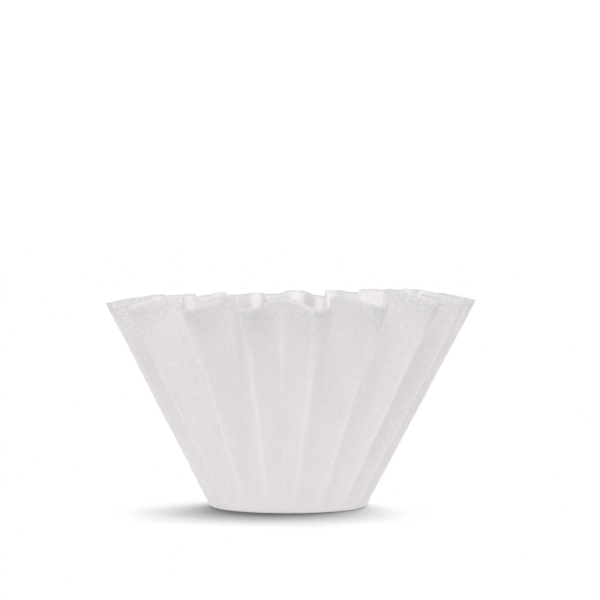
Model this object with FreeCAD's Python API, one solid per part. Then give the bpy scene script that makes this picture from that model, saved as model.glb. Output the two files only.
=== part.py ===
"""A paper coffee filter with a flat round base and a fluted, flaring wall.

It is one disc of crepe paper, pressed to shape. The base stays flat. Everything outside it
is gathered into flutes that start at the base's edge and are deepest at the rim. Straight
lines of paper run from the base to the rim. They keep the length that they had in the flat
disc, so the rim stands higher in the valleys, which run steeply, than on the ridges, which
lean outwards.

At the rim each ridge and each valley is an arc, and straight flanks join them. The wall is
made of narrow flat facets, and the arcs have several of them each.

Millimetres. The origin is the centre of the base's underside, +Z is up, and angles are
degrees round the axis from the front, -Y, towards the right, +X.
"""
import FreeCAD
import Part
import math
import os
from collections import namedtuple

# The paper
disc_diameter = 185.0
paper_thickness = 0.2

# The base, and the rim across the tips of its ridges
base_diameter = 47.0
rim_diameter = 111.0

# The flutes, at the rim. A fold's radius is at most this share of the width of the narrower
# half flute beside it.
flute_count = 20
flute_depth = 10.5
fold_radius = 3.6
fold_share_of_half_flute = 0.44

# The first ridge, at the base. The flutes are evenly spaced there.
first_ridge_angle = -50.0

# The rim is spread wide in front and gathered behind. Each ridge, and the valley after it, is
# also a little off its place and a little higher or lower, as the paper was handled.
rim_gather_angle = 8.5
rim_gather_phase = 15.0
ridge_shift_angles = (-3.8, 1.8, 0.3, 2.0, 1.2, 3.3, 2.1, 1.1, 4.8, 2.4,
                      0.1, 5.2, 3.9, 4.8, 3.8, 2.1, 1.9, -0.1, 2.3, -0.7)
valley_shift_angles = (0.4, -0.3, -1.1, -0.9, -0.1, 0.0, -0.3, 0.1, 3.5, -0.3,
                       4.2, 0.9, -0.3, 0.4, 0.8, -0.7, 1.0, -0.2, 0.0, 0.5)
ridge_rises = (-0.2, -0.3, -0.2, -0.6, -0.1, 0.1, 0.0, 0.1, 0.2, 0.0,
               2.2, 1.1, 0.2, 1.2, 0.7, 0.4, 1.4, 0.0, 0.3, 0.1)
valley_rises = (0.2, 1.1, 0.5, 0.5, 2.0, 0.0, 0.0, -0.1, 0.4, 0.6,
                0.3, 0.1, 0.1, -0.5, -0.3, -0.4, 0.0, -0.5, -0.4, 0.4)

# Length that a valley's paper loses to its curl
valley_curl = 2.0

# The rim sits a little to the right of the base, and one side of it stands a little higher
rim_shift = 0.6
rim_rise = 0.7
rim_rise_angle = 60.0

# Facets in half a fold's arc, across a flank, and from the base up to the rim
facets_per_half_fold = 3
facets_per_flank = 2
facets_up_wall = 4

base_radius = base_diameter / 2
rim_radius = rim_diameter / 2
wall_length = disc_diameter / 2 - base_radius
flute_angle = 360 / flute_count

# A fold of the wall, at the rim. Its side is 1 on a ridge, whose centre lies inside the
# wall, and -1 in a valley, whose centre lies outside.
Fold = namedtuple("Fold", "side base_angle outward centre radius height")

# A place along the wave of the rim: its point seen from above, the way that the paper's
# outer side faces there, the angle at the base that its straight line comes from, and the
# rim's heights at the ridge and the valley beside it.
Station = namedtuple("Station", "point facing base_angle ridge_height valley_height")


def polar(radius, degrees, height=0.0):
    """The point at a radius, an angle and a height."""
    turn = math.radians(degrees)
    return FreeCAD.Vector(radius * math.sin(turn), -radius * math.cos(turn), height)


def noted(table, number):
    """What a table says for one flute. Numbers past the last flute go round again."""
    return table[number % flute_count % len(table)]


def ridge_rim_angle(number):
    """Where a ridge stands at the rim."""
    base_angle = first_ridge_angle + number * flute_angle
    gather = rim_gather_angle * math.sin(math.radians(base_angle + rim_gather_phase))
    return base_angle + gather + noted(ridge_shift_angles, number)


def slope_height(run, length):
    """The height that a straight line of paper reaches over a horizontal run."""
    return math.sqrt(length ** 2 - run ** 2)


def folds():
    """The ridges and valleys in order, each with its circle and its height at the rim."""
    angles = []
    for i in range(flute_count + 1):
        ridge, following = ridge_rim_angle(i), ridge_rim_angle(i + 1)
        angles += [ridge, (ridge + following) / 2 + noted(valley_shift_angles, i)]
    middle_radius = rim_radius - flute_depth / 2
    widths = [math.radians(angles[k + 1] - angles[k]) * middle_radius for k in range(2 * flute_count)]
    ridge_height = slope_height(rim_radius - base_radius, wall_length)
    valley_height = slope_height(rim_radius - flute_depth - base_radius, wall_length - valley_curl)
    found = []
    for k in range(2 * flute_count):
        radius = min(fold_radius, fold_share_of_half_flute * min(widths[k - 1], widths[k]))
        if k % 2 == 0:
            side, place = 1, rim_radius - radius
            height = ridge_height + noted(ridge_rises, k // 2)
        else:
            side, place = -1, rim_radius - flute_depth + radius
            height = valley_height + noted(valley_rises, k // 2)
        base_angle = first_ridge_angle + k * flute_angle / 2
        found.append(Fold(side, base_angle, polar(1, angles[k]), polar(place, angles[k]), radius, height))
    return found


def flank_facing(fold, following):
    """The way that the outer side of the straight flank between two folds faces."""
    across = following.centre - fold.centre
    opening = math.acos((fold.radius + following.radius) / across.Length)
    turn = math.atan2(across.y, across.x) - fold.side * opening
    return FreeCAD.Vector(math.cos(turn), math.sin(turn), 0) * fold.side


def along_fold(fold, start, end):
    """Points and facings along a fold's arc as its facing turns from start to end."""
    turn = math.atan2(start.cross(end).z, start.dot(end))
    found = []
    for step in range(facets_per_half_fold + 1):
        part = turn * step / facets_per_half_fold
        sine, cosine = math.sin(part), math.cos(part)
        facing = FreeCAD.Vector(start.x * cosine - start.y * sine, start.x * sine + start.y * cosine, 0)
        found.append((fold.centre + facing * (fold.side * fold.radius), facing))
    return found


def half_flute(fold, following):
    """The stations from one fold's tip to just before the next fold's tip."""
    facing = flank_facing(fold, following)
    first = along_fold(fold, fold.outward, facing)
    last = along_fold(following, facing, following.outward)
    leave, meet = first[-1][0], last[0][0]
    flank = [(leave + (meet - leave) * (step / facets_per_flank), facing)
             for step in range(1, facets_per_flank)]
    places = first + flank + last
    gaps = [(places[k + 1][0] - places[k][0]).Length for k in range(len(places) - 1)]
    half_angle = flute_angle / 2
    ridge, valley = (fold, following) if fold.side > 0 else (following, fold)
    return [Station(point, facing, fold.base_angle + half_angle * sum(gaps[:k]) / sum(gaps),
                    ridge.height, valley.height)
            for k, (point, facing) in enumerate(places[:-1])]


def rim_point(station, offset):
    """A station's point, moved out by an offset and raised to the rim."""
    flat = station.point + station.facing * offset
    share = (rim_radius - flat.Length) / flute_depth
    rise = rim_rise * flat.dot(polar(1, rim_rise_angle)) / rim_radius
    height = station.ridge_height + share * (station.valley_height - station.ridge_height) + rise
    return FreeCAD.Vector(flat.x + rim_shift, flat.y, height)


def wall_side(stations, offset, radius, height):
    """One side of the wall: a row of points round the base, then rows up to the rim."""
    low = [polar(radius, station.base_angle, height) for station in stations]
    high = [rim_point(station, offset) for station in stations]
    return [[a + (b - a) * (row / facets_up_wall) for a, b in zip(low, high)]
            for row in range(facets_up_wall + 1)]


def band(lower, upper):
    """Flat three-cornered facets between two rows of points that both go round the filter."""
    faces = []
    for k in range(len(lower)):
        after = (k + 1) % len(lower)
        for corners in ((lower[k], lower[after], upper[after]), (lower[k], upper[after], upper[k])):
            faces.append(Part.Face(Part.makePolygon([*corners, corners[0]])))
    return faces


def filter_paper():
    """The whole filter as one closed solid: its outer and inner sides, joined along the rim."""
    all_folds = folds()
    stations = []
    for k, fold in enumerate(all_folds):
        stations += half_flute(fold, all_folds[(k + 1) % len(all_folds)])
    lean = math.atan2(rim_radius - flute_depth / 2 - base_radius, wall_length)
    inner_radius = base_radius - paper_thickness * (1 - math.sin(lean)) / math.cos(lean)
    outer = wall_side(stations, paper_thickness / 2, base_radius, 0)
    inner = wall_side(stations, -paper_thickness / 2, inner_radius, paper_thickness)
    faces = [Part.Face(Part.makePolygon([*side[0], side[0][0]])) for side in (outer, inner)]
    for side in (outer, inner):
        for row in range(facets_up_wall):
            faces += band(side[row], side[row + 1])
    faces += band(outer[-1], inner[-1])
    shell = Part.makeShell(faces)
    shell.sewShape()
    solid = Part.makeSolid(shell)
    if solid.Volume < 0:
        solid.reverse()
    return solid


os.makedirs("parts", exist_ok=True)
paper = filter_paper()
paper.exportStep("parts/filter_paper.step")

box = paper.BoundBox
print("valid", paper.isValid(), "solids", len(paper.Solids), "faces", len(paper.Faces))
print("volume", round(paper.Volume, 1))
print("size", round(box.XLength, 2), round(box.YLength, 2), round(box.ZLength, 2))
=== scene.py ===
import math

import bpy
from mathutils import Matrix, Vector


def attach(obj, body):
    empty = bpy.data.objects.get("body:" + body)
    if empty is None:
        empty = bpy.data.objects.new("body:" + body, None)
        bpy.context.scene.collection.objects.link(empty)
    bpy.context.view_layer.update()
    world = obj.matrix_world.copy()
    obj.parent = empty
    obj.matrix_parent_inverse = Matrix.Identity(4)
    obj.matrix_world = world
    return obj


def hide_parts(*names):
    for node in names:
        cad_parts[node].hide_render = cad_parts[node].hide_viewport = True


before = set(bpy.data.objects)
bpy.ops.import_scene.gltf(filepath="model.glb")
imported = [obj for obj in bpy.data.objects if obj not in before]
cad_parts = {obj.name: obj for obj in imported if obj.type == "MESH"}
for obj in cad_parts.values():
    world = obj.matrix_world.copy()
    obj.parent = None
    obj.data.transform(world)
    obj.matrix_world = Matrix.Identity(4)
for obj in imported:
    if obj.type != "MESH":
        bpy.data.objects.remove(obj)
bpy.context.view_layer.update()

# The filter paper
# One disc of thin white crepe paper. A press folds it up round a flat base and gathers the
# rest into flutes, which start at the base's edge and are deepest at the open rim.
mm = 0.001


class Graph:
    """A node tree whose nodes are added one by one, with their settings and links."""

    def __init__(self, tree):
        self.tree = tree

    def node(self, kind, settings=None, links=None, output=0):
        """Adds a node, sets it, fills its sockets with values or links, and gives one output."""
        made = self.tree.nodes.new(kind)
        for name, value in (settings or {}).items():
            setattr(made, name, value)
        for name, value in (links or {}).items():
            if isinstance(value, Wire):
                self.tree.links.new(value.socket, made.inputs[name])
            else:
                made.inputs[name].default_value = value
        return Wire(self, made.outputs[output])


class Wire:
    """A number on its way through a node tree, for use in Python's own arithmetic."""

    def __init__(self, graph, socket):
        self.graph = graph
        self.socket = socket

    def math(self, operation, *others):
        """This number and others through one Math node."""
        values = dict(enumerate((self, *others)))
        return self.graph.node("ShaderNodeMath", {"operation": operation}, values)

    def part(self, axis):
        """One of the three numbers of a vector."""
        return self.graph.node("ShaderNodeSeparateXYZ", None, {0: self}, "XYZ".index(axis))

    def __add__(self, other):
        return self.math("ADD", other)

    def __radd__(self, other):
        return self.math("ADD", other)

    def __sub__(self, other):
        return self.math("SUBTRACT", other)

    def __rsub__(self, other):
        return (self * -1) + other

    def __mul__(self, other):
        return self.math("MULTIPLY", other)

    def __truediv__(self, other):
        return self.math("DIVIDE", other)

    def __lt__(self, other):
        return self.math("LESS_THAN", other)


paper_thickness = 0.2 * mm
disc_radius = 92.5 * mm
base_radius = 23.5 * mm

# How far each ridge at the rim, and the valley after it, is off its place and its height, and how strongly
# each ridge's crease and its painted highlight show
degrees = math.radians(1)
flute_tables = {
    "ridge_shift": ((-3.8, 1.8, 0.3, 2.0, 1.2, 3.3, 2.1, 1.1, 4.8, 2.4,
                     0.1, 5.2, 3.9, 4.8, 3.8, 2.1, 1.9, -0.1, 2.3, -0.7), degrees),
    "valley_shift": ((0.4, -0.3, -1.1, -0.9, -0.1, 0.0, -0.3, 0.1, 3.5, -0.3,
                      4.2, 0.9, -0.3, 0.4, 0.8, -0.7, 1.0, -0.2, 0.0, 0.5), degrees),
    "ridge_rise": ((-0.2, -0.3, -0.2, -0.6, -0.1, 0.1, 0.0, 0.1, 0.2, 0.0,
                    2.2, 1.1, 0.2, 1.2, 0.7, 0.4, 1.4, 0.0, 0.3, 0.1), mm),
    "valley_rise": ((0.2, 1.1, 0.5, 0.5, 2.0, 0.0, 0.0, -0.1, 0.4, 0.6,
                     0.3, 0.1, 0.1, -0.5, -0.3, -0.4, 0.0, -0.5, -0.4, 0.4), mm),
    "crease_highlight_strength": ((0.8, 1.7, 1.8, 0.6, 0.5, 0.6, 0.7, 0.9, 1.2, 0.8,
                      1.0, 1.3, 0.7, 0.9, 1.2, 0.8, 1.1, 0.7, 1.0, 0.9), 1),
}

sheet_sizes = {
    "Flutes": 20,
    "Columns": 640,
    "Crowding": 0.6,
    "Base Rows": 5,
    "Corner Rows": 6,
    "Wall Rows": 46,
    "Base Radius": base_radius,
    "Wall Length": disc_radius - base_radius,
    "Corner": 0.8 * mm,
    "Rim Radius": 55.5 * mm,
    "Flute Depth": 10.5 * mm,
    "Fold Radius": 3.6 * mm,
    "Fold Share": 0.44,
    "Ridge Sharpness": 0.2,
    "Valley Sharpness": 0.4,
    "Flare Power": 5.0,
    "First Ridge": -50.0 * degrees,
    "Gather": 8.5 * degrees,
    "Gather Phase": 15.0 * degrees,
    "Valley Curl": 2.0 * mm,
    "Rim Shift": 0.6 * mm,
    "Rim Rise": 0.7 * mm,
    "Rise Angle": 60.0 * degrees,
    "Dent Depth": 0.35 * mm,
    "Dent Scale": 70.0,
    "Cut Unevenness": 0.35 * mm,
    "Cut Scale": 140.0,
    "Cut Power": 8.0,
    "Crease Width": 0.45 * mm,
    "Crease Place": 0.8,
    "Crease Start": 0.1,
    "Crease Fade": 0.5,
    "Thickness": paper_thickness,
}


def pressing_tree():
    """The tree that presses the flat disc: each point of a grid finds its place on the filter."""
    tree = bpy.data.node_groups.new("pressed_filter", "GeometryNodeTree")
    tree.interface.new_socket("Geometry", in_out="INPUT", socket_type="NodeSocketGeometry")
    tree.interface.new_socket("Geometry", in_out="OUTPUT", socket_type="NodeSocketGeometry")
    for name, value in sheet_sizes.items():
        kind = "NodeSocketInt" if isinstance(value, int) else "NodeSocketFloat"
        tree.interface.new_socket(name, in_out="INPUT", socket_type=kind)
    tree.interface.new_socket("Material", in_out="INPUT", socket_type="NodeSocketMaterial")
    graph = Graph(tree)
    inputs = tree.nodes.new("NodeGroupInput")

    def size(name):
        return Wire(graph, inputs.outputs[name])

    flutes, wall, depth = size("Flutes"), size("Wall Length"), size("Flute Depth")
    base, rim = size("Base Radius"), size("Rim Radius")
    rows = size("Base Rows") + size("Corner Rows") + size("Wall Rows")
    grid = graph.node("GeometryNodeMeshGrid", None, {
        "Size X": 1.0, "Size Y": 1.0, "Vertices X": size("Columns") + 1, "Vertices Y": rows + 1})
    spot = graph.node("GeometryNodeInputPosition")
    around = spot.part("X") + 0.5
    row = (spot.part("Y") + 0.5) * rows

    # How far out on the flat disc each row lies, with close rows at the base's corner
    def rows_between(first, count, length):
        return graph.node("ShaderNodeMapRange", {"clamp": True}, {
            "Value": row, "From Min": first, "From Max": first + count, "To Min": 0.0, "To Max": length})

    corner = size("Corner")
    out = (rows_between(0, size("Base Rows"), base - corner)
           + rows_between(size("Base Rows"), size("Corner Rows"), corner * 2)
           + rows_between(size("Base Rows") + size("Corner Rows"), size("Wall Rows"), wall - corner))

    climb = (out - base).math("SMOOTH_MAX", 0.0, corner)
    flat_part = out - climb
    climbed = climb / wall

    # The nearest ridge, and how far the point lies from its tip towards a valley's. The
    # columns crowd together at the folds.
    column = around * flutes
    ridge = (column + 0.5).math("FLOOR")
    off = column - ridge
    side = 1 - (off < 0) * 2
    even_share = off.math("ABSOLUTE") * 2
    share = even_share - (even_share * math.tau).math("SINE") * size("Crowding") / math.tau
    place = ridge + side * share / 2

    def noted(name, number):
        """What a table says for one flute. Numbers past the last flute go round again."""
        table = graph.node("GeometryNodeInputNamedAttribute", {"data_type": "FLOAT"}, {"Name": name})
        return graph.node("GeometryNodeSampleIndex", {"data_type": "FLOAT", "domain": "POINT"}, {
            "Geometry": size("Geometry"), "Value": table, "Index": number.math("FLOORED_MODULO", flutes)})

    def ridge_angle(number):
        """Where a ridge stands at the rim, as the press and handling left it."""
        at_base = size("First Ridge") + number * math.tau / flutes
        gather = size("Gather") * (at_base + size("Gather Phase")).math("SINE")
        return at_base + gather + noted("ridge_shift", number)

    angle = ridge_angle(ridge)
    after = ridge_angle(ridge + 1) - angle
    before = angle - ridge_angle(ridge - 1)
    pitch = before + (after - before) * (side + 1) / 2
    valley = ridge + (side - 1) / 2
    half = pitch / 2 + side * noted("valley_shift", valley)
    far_half = (before + after - pitch) / 2 - side * noted("valley_shift", ridge - (side + 1) / 2)

    # The rim seen from above, with x towards the valley and y outwards: the ridge's arc, the
    # straight flank that touches both arcs, and the valley's arc
    middle = (rim - depth / 2) * size("Fold Share")
    flare = climbed.math("POWER", size("Flare Power"))

    def fold_at_height(widest, sharp):
        """A fold's radius, pressed sharp low on the wall and opening out at the rim."""
        return size("Fold Radius").math("MINIMUM", widest * middle) * (sharp + (1 - sharp) * flare)

    ridge_fold = fold_at_height(half.math("MINIMUM", far_half), size("Ridge Sharpness"))
    valley_fold = fold_at_height(half.math("MINIMUM", pitch - half), size("Valley Sharpness"))
    ridge_y = rim - ridge_fold
    valley_out = rim - depth + valley_fold
    valley_x = valley_out * half.math("SINE")
    valley_y = valley_out * half.math("COSINE")
    fall = valley_y - ridge_y
    apart = (valley_x * valley_x + fall * fall).math("SQRT")
    turn = fall.math("ARCTAN2", valley_x) + ((ridge_fold + valley_fold) / apart).math("ARCCOSINE")
    facing_x, facing_y = turn.math("COSINE"), turn.math("SINE")
    leave_x, leave_y = ridge_fold * facing_x, ridge_y + ridge_fold * facing_y
    meet_x, meet_y = valley_x - valley_fold * facing_x, valley_y - valley_fold * facing_y
    run_x, run_y = meet_x - leave_x, meet_y - leave_y
    ridge_arc = ridge_fold * (math.pi / 2 - turn)
    flank = (run_x * run_x + run_y * run_y).math("SQRT")
    valley_turn = math.pi / 2 - turn - half
    valley_arc = valley_fold * valley_turn
    along = share * (ridge_arc + flank + valley_arc)
    on_ridge = along.math("MINIMUM", ridge_arc) / ridge_fold
    on_flank = (along - ridge_arc).math("MAXIMUM", 0.0).math("MINIMUM", flank) / flank
    on_valley = (along - ridge_arc - flank).math("MAXIMUM", 0.0) / valley_fold
    bearing = half + valley_turn - on_valley
    flat_x = (ridge_fold * on_ridge.math("SINE") + run_x * on_flank
              + valley_x - valley_fold * bearing.math("SINE") - meet_x)
    flat_y = (ridge_y + ridge_fold * on_ridge.math("COSINE") + run_y * on_flank
              + valley_y - valley_fold * bearing.math("COSINE") - meet_y)
    rim_out = (flat_x * flat_x + flat_y * flat_y).math("SQRT")
    rim_angle = angle + side * flat_x.math("ARCTAN2", flat_y)

    # The rim's height: straight paper reaches higher where it leans out less
    def reach(length, run):
        return (length * length - run * run).math("SQRT")

    ridge_height = reach(wall, rim - base) + noted("ridge_rise", ridge)
    valley_height = reach(wall - size("Valley Curl"), rim - depth - base) + noted("valley_rise", valley)
    rise = size("Rim Rise") * (rim_out / rim) * (rim_angle - size("Rise Angle")).math("COSINE")
    rim_z = ridge_height + (rim - rim_out) / depth * (valley_height - ridge_height) + rise
    rim_x = rim_out * rim_angle.math("SINE") + size("Rim Shift")
    rim_y = rim_out * rim_angle.math("COSINE") * -1

    # Where each point lies on the flat disc, which its dents and its grain follow
    disc_turn = place * math.tau / flutes
    flat_place = graph.node("ShaderNodeCombineXYZ", None, {
        "X": out * disc_turn.math("SINE"), "Y": out * disc_turn.math("COSINE") * -1, "Z": 0.0})

    def unevenness(scale):
        """Smooth random swings between about -1 and 1, which lie in the flat disc."""
        swings = graph.node("ShaderNodeTexNoise", None, {
            "Vector": flat_place, "Scale": scale, "Detail": 1.0})
        return (swings - 0.5) * 3

    dent = unevenness(size("Dent Scale")) * size("Dent Depth") * climbed
    near_cut = climbed.math("POWER", size("Cut Power"))
    cut = unevenness(size("Cut Scale")) * size("Cut Unevenness") * near_cut

    # Straight lines of paper run from the base's round corner to the rim
    base_angle = size("First Ridge") + place * math.tau / flutes
    sine, cosine = base_angle.math("SINE"), base_angle.math("COSINE")
    pressed = graph.node("ShaderNodeCombineXYZ", None, {
        "X": flat_part * sine + (rim_x - base * sine) * climbed + sine * dent,
        "Y": (flat_part * cosine) * -1 + (rim_y + base * cosine) * climbed - cosine * dent,
        "Z": rim_z * climbed + size("Thickness") / 2 + cut})

    # Each ridge has one bright crease, which seen from outside runs just left of its tip: partly paper
    # whitened by the fold, partly a painted highlight where light from the left catches the ridge. The
    # creases are alike where they meet at the base, and fade where the folds open out at the rim.
    from_crease = (side * along + ridge_arc * size("Crease Place")) * climbed / size("Crease Width")
    clear_of_base = (climbed / size("Crease Start")).math("MINIMUM", 1.0)
    highlight_strength = 1 + (noted("crease_highlight_strength", ridge) - 1) * clear_of_base
    crease_and_highlight = (from_crease * from_crease * -1).math("EXPONENT") * highlight_strength * (1 - flare * size("Crease Fade"))

    def keep(geometry, name, kind, value):
        """Stores a value at every point, for the paper's material."""
        return graph.node("GeometryNodeStoreNamedAttribute", {"data_type": kind, "domain": "POINT"}, {
            "Geometry": geometry, "Name": name, "Value": value})

    kept = keep(grid, "flat", "FLOAT_VECTOR", flat_place)
    kept = keep(kept, "crease_and_highlight", "FLOAT", crease_and_highlight)
    moved = graph.node("GeometryNodeSetPosition", None, {"Geometry": kept, "Position": pressed})
    closed = graph.node("GeometryNodeMergeByDistance", None, {"Geometry": moved, "Distance": 0.001 * mm})
    smooth = graph.node("GeometryNodeSetShadeSmooth", None, {"Geometry": closed})
    real = graph.node("GeometryNodeRealizeInstances", None, {"Geometry": smooth})
    dressed = graph.node("GeometryNodeSetMaterial", None, {"Geometry": real, "Material": size("Material")})
    outputs = tree.nodes.new("NodeGroupOutput")
    tree.links.new(dressed.socket, outputs.inputs[0])
    return tree


paper_white = (0.934, 0.922, 0.92, 1)
through_white = (0.927, 0.915, 0.913, 1)

# How far the grain, the creases with their painted highlight, the painted light on the inner side and the
# painted shade on the outer side's rim lighten or darken it
fibre_tone, crepe_tone, cloud_tone = 0.52, 0.22, 0.1
crease_highlight_tone, inner_painted_light, rim_painted_shade = 0.1, 0.04, -0.13
brightest_tone = 1.07

# The share of the light that goes through the paper, and how much less it is at the outer side's rim,
# which darkens it there along with the painted shade, and at the base
share_through, rim_loss, base_loss = 0.62, 0.34, 0.4

# The painted shade's band at the rim gathers towards this share of the disc's radius, and is even beyond
# it
rim_band, rim_power = 0.985, 13


def paper_material():
    """White crepe paper: matt, faintly mottled, slightly warm, and thin enough to let light through. Its
    colour also carries painted light: a highlight along each crease beside the fold's own whitening, light
    on the inner side and shade under the outer side's rim.
    """
    material = bpy.data.materials.new("filter_paper")
    material.use_nodes = True
    tree = material.node_tree
    graph = Graph(tree)
    flat = graph.node("ShaderNodeAttribute", {"attribute_name": "flat"}, None, "Vector")

    def noise(scale, detail, stretch=(1, 1, 1)):
        """Grain that lies in the flat disc, in spots about 1 / scale metres wide."""
        place = graph.node("ShaderNodeMapping", None, {"Vector": flat, "Scale": stretch})
        return graph.node("ShaderNodeTexNoise", None, {
            "Vector": place, "Scale": scale, "Detail": detail, "Roughness": 0.6})

    fibres = noise(1100, 3)
    crepe = noise(650, 2, (1, 2.6, 1))
    clouds = noise(120, 3)
    crease_and_highlight = graph.node("ShaderNodeAttribute", {"attribute_name": "crease_and_highlight"}, None, "Fac")
    inner = graph.node("ShaderNodeAttribute", {"attribute_name": "inner"}, None, "Fac")
    out = graph.node("ShaderNodeVectorMath", {"operation": "LENGTH"}, {0: flat}, "Value") / disc_radius
    painted_rim_shade_mask = (1 - inner) * out.math("MINIMUM", rim_band).math("POWER", rim_power)
    grain = (fibres - 0.5) * fibre_tone + (crepe - 0.5) * crepe_tone + (clouds - 0.5) * cloud_tone
    # The paper's own grain, with the creases' whitening and painted highlight, painted light on the inner
    # side and painted shade under the outer side's rim
    grain_and_painted_light = 1 + grain + crease_and_highlight * crease_highlight_tone + inner * inner_painted_light + painted_rim_shade_mask * rim_painted_shade
    tint = graph.node("ShaderNodeMix", {"data_type": "RGBA", "blend_type": "MULTIPLY"}, {
        0: 1.0, 6: paper_white, 7: grain_and_painted_light.math("MINIMUM", brightest_tone)}, 2)
    bumps = graph.node("ShaderNodeBump", None, {
        "Strength": 0.38, "Distance": 0.25 * mm, "Height": crepe * 0.6 + fibres * 0.4})
    shader = tree.nodes["Principled BSDF"]
    shader.inputs["Roughness"].default_value = 0.9
    shader.inputs["Specular IOR Level"].default_value = 0.2
    tree.links.new(tint.socket, shader.inputs["Base Color"])
    tree.links.new(bumps.socket, shader.inputs["Normal"])
    through = graph.node("ShaderNodeBsdfTranslucent", None, {"Color": through_white, "Normal": bumps})
    on_base = out < base_radius / disc_radius
    both = graph.node("ShaderNodeMixShader", None, {
        0: share_through - painted_rim_shade_mask * rim_loss - on_base * base_loss,
        1: Wire(graph, shader.outputs[0]), 2: through})
    tree.links.new(both.socket, tree.nodes["Material Output"].inputs["Surface"])
    return material


def pressed_sheet():
    """The whole filter as one mesh. It starts as a blank that has a point for each flute, with
    the flute's own numbers. The tree presses the sheet, and a modifier gives it its thickness."""
    ridges = bpy.data.meshes.new("blank_disc")
    ridges.from_pydata([(0, 0, 0)] * sheet_sizes["Flutes"], [], [])
    for name, (values, unit) in flute_tables.items():
        table = ridges.attributes.new(name, "FLOAT", "POINT")
        table.data.foreach_set("value", [value * unit for value in values])
    blank = bpy.data.objects.new("blank_disc", ridges)
    bpy.context.scene.collection.objects.link(blank)
    press = blank.modifiers.new("press", "NODES")
    press.node_group = pressing_tree()
    values = {**sheet_sizes, "Material": paper_material()}
    for item in press.node_group.interface.items_tree:
        if item.in_out == "INPUT" and item.name in values:
            press[item.identifier] = values[item.name]
    thicken = blank.modifiers.new("thickness", "SOLIDIFY")
    thicken.thickness = paper_thickness
    thicken.offset = 0
    evaluated = blank.evaluated_get(bpy.context.evaluated_depsgraph_get())
    mesh = bpy.data.meshes.new_from_object(evaluated)
    mesh.name = "paper_sheet"

    # The first half of the points is the outer side
    # The inner side is marked, for the painted light that the material gives it
    points = len(mesh.vertices) // 2
    inner = mesh.attributes.new("inner", "FLOAT", "POINT")
    inner.data.foreach_set("value", [0.0] * points + [1.0] * points)
    sheet = bpy.data.objects.new("paper_sheet", mesh)
    bpy.context.scene.collection.objects.link(sheet)
    bpy.data.objects.remove(blank)
    return sheet


paper = pressed_sheet()
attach(paper, "root")
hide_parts("filter_paper")


# The floor
# A plain white studio table, seen as white where nothing shades it. Where it is seen directly, the
# filter's soft shadow on it is painted: an emission that ambient occlusion towards one side darkens. To
# other light it throws light back up at the wall. It lies a hair below the filter, so that light comes
# back up through the base too.
floor_size = 6.0
floor_height = -0.1 * mm

# Light that the table gives off: some all over, and more near the filter
glow_all_over, glow_near, glow_reach = 0.12, 0.2, 90 * mm

# The painted shadow: how far it reaches, the side that the light comes from, and the openness to that side
# that counts as fully dark and fully light
shadow_reach = 50 * mm
light_side = (0.22, 0.75, 0.62)
dark_sky, light_sky = 0.26, 0.68
shadow_darkest, shadow_power = 0.1, 0.85


def seen_directly(graph):
    """1 for what the camera, a reflection or clear glass shows, and 0 for light on other things."""
    rays = graph.tree.nodes.new("ShaderNodeLightPath")
    seen = Wire(graph, rays.outputs["Is Camera Ray"])
    for name in ("Is Glossy Ray", "Is Transmission Ray"):
        seen = seen.math("MAXIMUM", Wire(graph, rays.outputs[name]))
    return seen


floor_mesh = bpy.data.meshes.new("floor")
corners = [(-floor_size, -floor_size, floor_height), (floor_size, -floor_size, floor_height),
           (floor_size, floor_size, floor_height), (-floor_size, floor_size, floor_height)]
floor_mesh.from_pydata(corners, [], [(0, 1, 2, 3)])
floor = bpy.data.objects.new("floor", floor_mesh)
bpy.context.scene.collection.objects.link(floor)
floor_material = bpy.data.materials.new("floor")
floor_material.use_nodes = True
floor_graph = Graph(floor_material.node_tree)
floor_shader = floor_material.node_tree.nodes["Principled BSDF"]
floor_shader.inputs["Base Color"].default_value = (0.6, 0.6, 0.6, 1)
floor_shader.inputs["Roughness"].default_value = 1.0
floor_shader.inputs["Specular IOR Level"].default_value = 0.0
floor_shader.inputs["Emission Strength"].default_value = 1.0
spot = floor_graph.node("ShaderNodeNewGeometry")
from_middle = floor_graph.node("ShaderNodeVectorMath", {"operation": "LENGTH"}, {0: spot}, "Value")
far = from_middle / glow_reach
glow = (far * far * -1).math("EXPONENT") * glow_near + glow_all_over
floor_graph.tree.links.new(glow.socket, floor_shader.inputs["Emission Color"])
# The painted shadow: ambient occlusion, tilted towards the light's side, darkens the white that the camera
# sees
tilt = floor_graph.node("ShaderNodeCombineXYZ", None, dict(zip("XYZ", light_side)))
open_sky = floor_graph.node("ShaderNodeAmbientOcclusion", {"samples": 16}, {
    "Distance": shadow_reach, "Normal": tilt}, "AO")
painted_shadow_lightness = (open_sky - dark_sky) / (light_sky - dark_sky)
painted_shadow_lightness = painted_shadow_lightness.math("MAXIMUM", shadow_darkest).math("MINIMUM", 1.0).math("POWER", shadow_power)
painted_shadow_table = floor_graph.node("ShaderNodeEmission", None, {"Color": painted_shadow_lightness})
table_top = floor_graph.node("ShaderNodeMixShader", None, {
    0: seen_directly(floor_graph), 1: Wire(floor_graph, floor_shader.outputs[0]), 2: painted_shadow_table})
floor_graph.tree.links.new(table_top.socket, floor_graph.tree.nodes["Material Output"].inputs["Surface"])
floor_mesh.materials.append(floor_material)


# The light
# A white light tent that glows most in front, and four wide soft panels: one overhead, one low
# on the left, a weaker one low on the right and a faint one in front. A low strip behind the
# filter shines through the far wall.
world = bpy.data.worlds.new("studio")
bpy.context.scene.world = world
world.use_nodes = True
world_graph = Graph(world.node_tree)
backdrop = world.node_tree.nodes["Background"]

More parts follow.
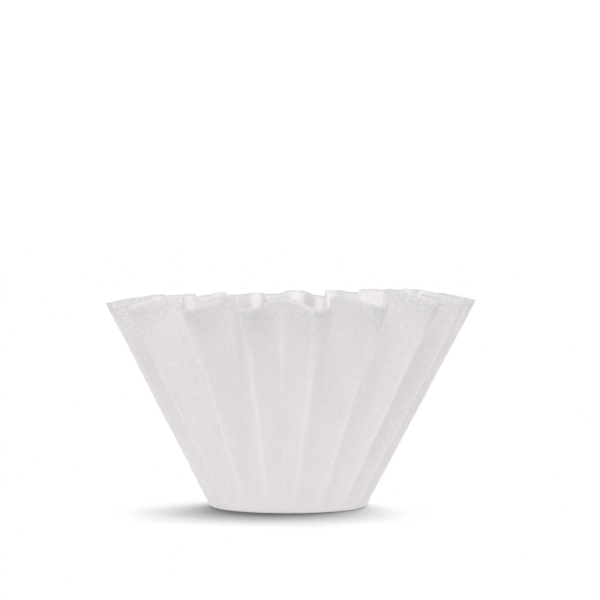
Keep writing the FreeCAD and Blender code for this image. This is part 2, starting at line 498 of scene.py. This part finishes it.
# The tent's glow on the paper falls off towards the back and the top. Seen directly it is white.
front_glow, back_glow, seen_white = 0.45, 0.1, 1.05
direction = world_graph.node("ShaderNodeTexCoord")
away = direction.part("Y") * 0.8 + direction.part("Z") * 0.6
to_back = world_graph.node("ShaderNodeMapRange", {"interpolation_type": "SMOOTHSTEP"}, {
    "Value": away, "From Min": -0.6, "From Max": 0.8, "To Min": front_glow, "To Max": back_glow})
strength = to_back + seen_directly(world_graph) * (seen_white - to_back)
world_graph.tree.links.new(strength.socket, backdrop.inputs["Strength"])
backdrop.inputs["Color"].default_value = (1, 1, 1, 1)


def soft_sun(name, azimuth, elevation, spread, power):
    """A wide, even light from one side. Azimuth 0 is the front and 90 the right."""
    data = bpy.data.lights.new(name, "SUN")
    data.angle = math.radians(spread)
    data.energy = power
    made = bpy.data.objects.new(name, data)
    bpy.context.scene.collection.objects.link(made)
    turn, rise = math.radians(azimuth), math.radians(elevation)
    towards = Vector((math.sin(turn) * math.cos(rise), -math.cos(turn) * math.cos(rise), math.sin(rise)))
    made.rotation_euler = towards.to_track_quat("Z", "Y").to_euler()


soft_sun("overhead_panel", 0, 50, 30, 1.17)
soft_sun("left_panel", -80, 7, 50, 1.2)
soft_sun("right_panel", 68, 7, 50, 0.85)
soft_sun("front_panel", -20, 6, 30, 0.35)

strip = bpy.data.lights.new("back_strip", "AREA")
strip.shape = "RECTANGLE"
strip.size, strip.size_y = 200 * mm, 25 * mm
strip.energy = 0.03
back_strip = bpy.data.objects.new("back_strip", strip)
bpy.context.scene.collection.objects.link(back_strip)
back_strip.location = (0, 160 * mm, 15 * mm)
back_strip.rotation_euler = (math.radians(-90), 0, 0)
back_strip.visible_camera = False


# The camera
# A long lens, a little under a metre away and a hand's breadth above the table, looking
# slightly down at the filter.
lens_pixels = 3069.0
frame_pixels = 600.0
pixel = 0.3 * mm
camera_height = 309.0 * pixel
aim_point = Vector((11.4 * pixel, 0, 206.0 * pixel))
camera_data = bpy.data.cameras.new("camera")
camera_data.sensor_width = 36.0
camera_data.lens = camera_data.sensor_width * lens_pixels / frame_pixels
camera = bpy.data.objects.new("camera", camera_data)
bpy.context.scene.collection.objects.link(camera)
camera.location = (0, -lens_pixels * pixel, camera_height)
camera.rotation_euler = (aim_point - camera.location).to_track_quat("-Z", "Y").to_euler()
bpy.context.scene.camera = camera
bpy.context.scene.view_settings.view_transform = "Standard"
